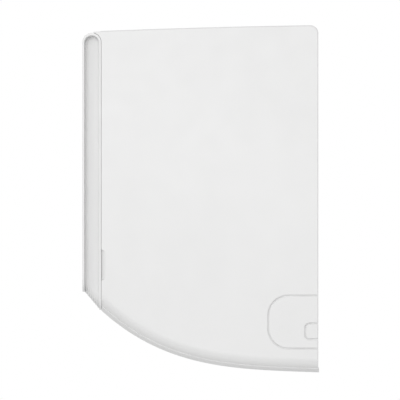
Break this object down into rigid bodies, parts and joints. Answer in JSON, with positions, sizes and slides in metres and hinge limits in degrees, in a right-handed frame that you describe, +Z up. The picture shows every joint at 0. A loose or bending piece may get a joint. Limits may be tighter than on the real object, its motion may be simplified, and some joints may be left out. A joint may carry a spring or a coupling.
{
  "type": "wall air conditioner indoor unit",
  "caption": "Wall-mounted split air conditioner indoor unit with a hinged front panel, curved belly with air louver, guide vanes, filters, coils, fan and wall plate.",
  "frame": {"origin": "centre of the wall plate's rear face, in the wall's plane", "axes": "+X to the right as one faces the unit, +Y into the wall, -Y towards the room, +Z up"},
  "size_m": [0.837, 0.1999, 0.2933],
  "materials": {
    "white_shell": "fine satin moulded white ABS",
    "smoked_lens": "smoked glossy indicator lens",
    "inner_plastic": "off-white moulded plastic",
    "sheet_steel": "galvanised sheet with a faint spangle",
    "filter_net": "fine woven polypropylene net in a moulded frame",
    "screw_steel": "zinc plated steel",
    "coil_fin": "thin aluminium fins with copper hairpins",
    "copper_pipe": "drawn copper tube, slightly dulled",
    "brass_nut": "machined brass",
    "black_plastic": "black glass-filled plastic",
    "black_rubber": "moulded rubber",
    "hose_plastic": "ribbed flexible drain hose",
    "circuit_board": "green circuit board with solder mask"
  },
  "bodies": {
    "unit": {"front_frame": "white_shell", "top_intake_grille": "white_shell", "lower_shell": "white_shell", "side_cover_right": "white_shell", "side_cover_left": "white_shell", "rear_chassis": "inner_plastic", "fan_scroll": "inner_plastic", "drain_tray": "inner_plastic", "fan_motor": "inner_plastic", "control_box": "inner_plastic", "mounting_plate": "sheet_steel", "motor_bracket": "sheet_steel", "control_box_cover": "sheet_steel", "vane_motor_left": "sheet_steel", "vane_motor_right": "sheet_steel", "louver_motor": "sheet_steel", "frame_screw_left": "screw_steel", "frame_screw_right": "screw_steel", "coil_front_lower": "coil_fin", "coil_front_upper": "coil_fin", "coil_rear": "coil_fin", "gas_pipe": "copper_pipe", "liquid_pipe": "copper_pipe", "gas_flare_nut": "brass_nut", "liquid_flare_nut": "brass_nut", "terminal_block": "black_plastic", "fan_bearing": "black_rubber", "drain_cap": "black_rubber", "drain_hose": "hose_plastic", "main_board": "circuit_board", "receiver_board": "circuit_board"},
    "panel": {"front_panel": "white_shell", "display_window": "smoked_lens", "panel_end_cap_left": "white_shell", "panel_end_cap_right": "white_shell", "panel_hinge_pin_left": "inner_plastic", "panel_hinge_pin_right": "inner_plastic"},
    "fan": {"crossflow_fan": "black_plastic", "motor_shaft": "screw_steel"},
    "louver": {"main_louver": "white_shell"},
    "filter_left": {"air_filter_left": "filter_net"},
    "filter_right": {"air_filter_right": "filter_net"},
    "button": {"emergency_button": "inner_plastic"},
    "vane_left_1": {"guide_vane_left_1": "inner_plastic"},
    "vane_left_2": {"guide_vane_left_2": "inner_plastic"},
    "vane_left_3": {"guide_vane_left_3": "inner_plastic"},
    "vane_left_4": {"guide_vane_left_4": "inner_plastic"},
    "vane_left_5": {"guide_vane_left_5": "inner_plastic"},
    "vane_left_6": {"guide_vane_left_6": "inner_plastic"},
    "link_left": {"vane_link_left": "inner_plastic"},
    "vane_right_1": {"guide_vane_right_1": "inner_plastic"},
    "vane_right_2": {"guide_vane_right_2": "inner_plastic"},
    "vane_right_3": {"guide_vane_right_3": "inner_plastic"},
    "vane_right_4": {"guide_vane_right_4": "inner_plastic"},
    "vane_right_5": {"guide_vane_right_5": "inner_plastic"},
    "vane_right_6": {"guide_vane_right_6": "inner_plastic"},
    "link_right": {"vane_link_right": "inner_plastic"}
  },
  "joints": [
    {"name": "panel_hinge", "type": "hinge", "parent": "unit", "child": "panel", "pos_m": [0, -0.19195, 0.1324], "axis": [-1, 0, 0], "range_deg": [0, 55]},
    {"name": "fan_spin", "type": "hinge", "parent": "unit", "child": "fan", "pos_m": [0, -0.088, -0.0485], "axis": [1, 0, 0], "continuous": true},
    {"name": "louver_tilt", "type": "hinge", "parent": "unit", "child": "louver", "pos_m": [0, -0.10232, -0.12968], "axis": [1, 0, 0], "range_deg": [0, 70]},
    {"name": "filter_left_lift", "type": "slide", "parent": "unit", "child": "filter_left", "axis": [0, 0, 1], "range_m": [0, 0.008]},
    {"name": "filter_right_lift", "type": "slide", "parent": "unit", "child": "filter_right", "axis": [0, 0, 1], "range_m": [0, 0.008]},
    {"name": "button_press", "type": "slide", "parent": "unit", "child": "button", "axis": [0, 1, 0], "range_m": [0, 0.0012], "stiffness_N_per_m": 400},
    {"name": "vane_swing_left", "type": "hinge", "parent": "unit", "child": "vane_left_1", "pos_m": [-0.033, -0.084, -0.1147], "axis": [0, -0.5426, 0.84], "range_deg": [-35, 35]},
    {"name": "vane_left_2_swing", "type": "hinge", "parent": "unit", "child": "vane_left_2", "pos_m": [-0.087, -0.084, -0.1147], "axis": [0, -0.5426, 0.84], "range_deg": [-35, 35]},
    {"name": "vane_left_3_swing", "type": "hinge", "parent": "unit", "child": "vane_left_3", "pos_m": [-0.141, -0.084, -0.1147], "axis": [0, -0.5426, 0.84], "range_deg": [-35, 35]},
    {"name": "vane_left_4_swing", "type": "hinge", "parent": "unit", "child": "vane_left_4", "pos_m": [-0.195, -0.084, -0.1147], "axis": [0, -0.5426, 0.84], "range_deg": [-35, 35]},
    {"name": "vane_left_5_swing", "type": "hinge", "parent": "unit", "child": "vane_left_5", "pos_m": [-0.249, -0.084, -0.1147], "axis": [0, -0.5426, 0.84], "range_deg": [-35, 35]},
    {"name": "vane_left_6_swing", "type": "hinge", "parent": "unit", "child": "vane_left_6", "pos_m": [-0.303, -0.084, -0.1147], "axis": [0, -0.5426, 0.84], "range_deg": [-35, 35]},
    {"name": "link_left_pivot", "type": "hinge", "parent": "vane_left_1", "child": "link_left", "pos_m": [-0.033, -0.13042, -0.08338], "axis": [0, -0.5426, 0.84], "range_deg": [-35, 35]},
    {"name": "vane_swing_right", "type": "hinge", "parent": "unit", "child": "vane_right_1", "pos_m": [0.033, -0.084, -0.1147], "axis": [0, -0.5426, 0.84], "range_deg": [-35, 35]},
    {"name": "vane_right_2_swing", "type": "hinge", "parent": "unit", "child": "vane_right_2", "pos_m": [0.087, -0.084, -0.1147], "axis": [0, -0.5426, 0.84], "range_deg": [-35, 35]},
    {"name": "vane_right_3_swing", "type": "hinge", "parent": "unit", "child": "vane_right_3", "pos_m": [0.141, -0.084, -0.1147], "axis": [0, -0.5426, 0.84], "range_deg": [-35, 35]},
    {"name": "vane_right_4_swing", "type": "hinge", "parent": "unit", "child": "vane_right_4", "pos_m": [0.195, -0.084, -0.1147], "axis": [0, -0.5426, 0.84], "range_deg": [-35, 35]},
    {"name": "vane_right_5_swing", "type": "hinge", "parent": "unit", "child": "vane_right_5", "pos_m": [0.249, -0.084, -0.1147], "axis": [0, -0.5426, 0.84], "range_deg": [-35, 35]},
    {"name": "vane_right_6_swing", "type": "hinge", "parent": "unit", "child": "vane_right_6", "pos_m": [0.303, -0.084, -0.1147], "axis": [0, -0.5426, 0.84], "range_deg": [-35, 35]},
    {"name": "link_right_pivot", "type": "hinge", "parent": "vane_right_1", "child": "link_right", "pos_m": [0.033, -0.13042, -0.08338], "axis": [0, -0.5426, 0.84], "range_deg": [-35, 35]}
  ],
  "couplings": [
    {"joint": "vane_left_2_swing", "follows": "vane_swing_left", "ratio": 1},
    {"joint": "vane_left_3_swing", "follows": "vane_swing_left", "ratio": 1},
    {"joint": "vane_left_4_swing", "follows": "vane_swing_left", "ratio": 1},
    {"joint": "vane_left_5_swing", "follows": "vane_swing_left", "ratio": 1},
    {"joint": "vane_left_6_swing", "follows": "vane_swing_left", "ratio": 1},
    {"joint": "link_left_pivot", "follows": "vane_swing_left", "ratio": -1},
    {"joint": "vane_right_2_swing", "follows": "vane_swing_right", "ratio": 1},
    {"joint": "vane_right_3_swing", "follows": "vane_swing_right", "ratio": 1},
    {"joint": "vane_right_4_swing", "follows": "vane_swing_right", "ratio": 1},
    {"joint": "vane_right_5_swing", "follows": "vane_swing_right", "ratio": 1},
    {"joint": "vane_right_6_swing", "follows": "vane_swing_right", "ratio": 1},
    {"joint": "link_right_pivot", "follows": "vane_swing_right", "ratio": -1}
  ]
}
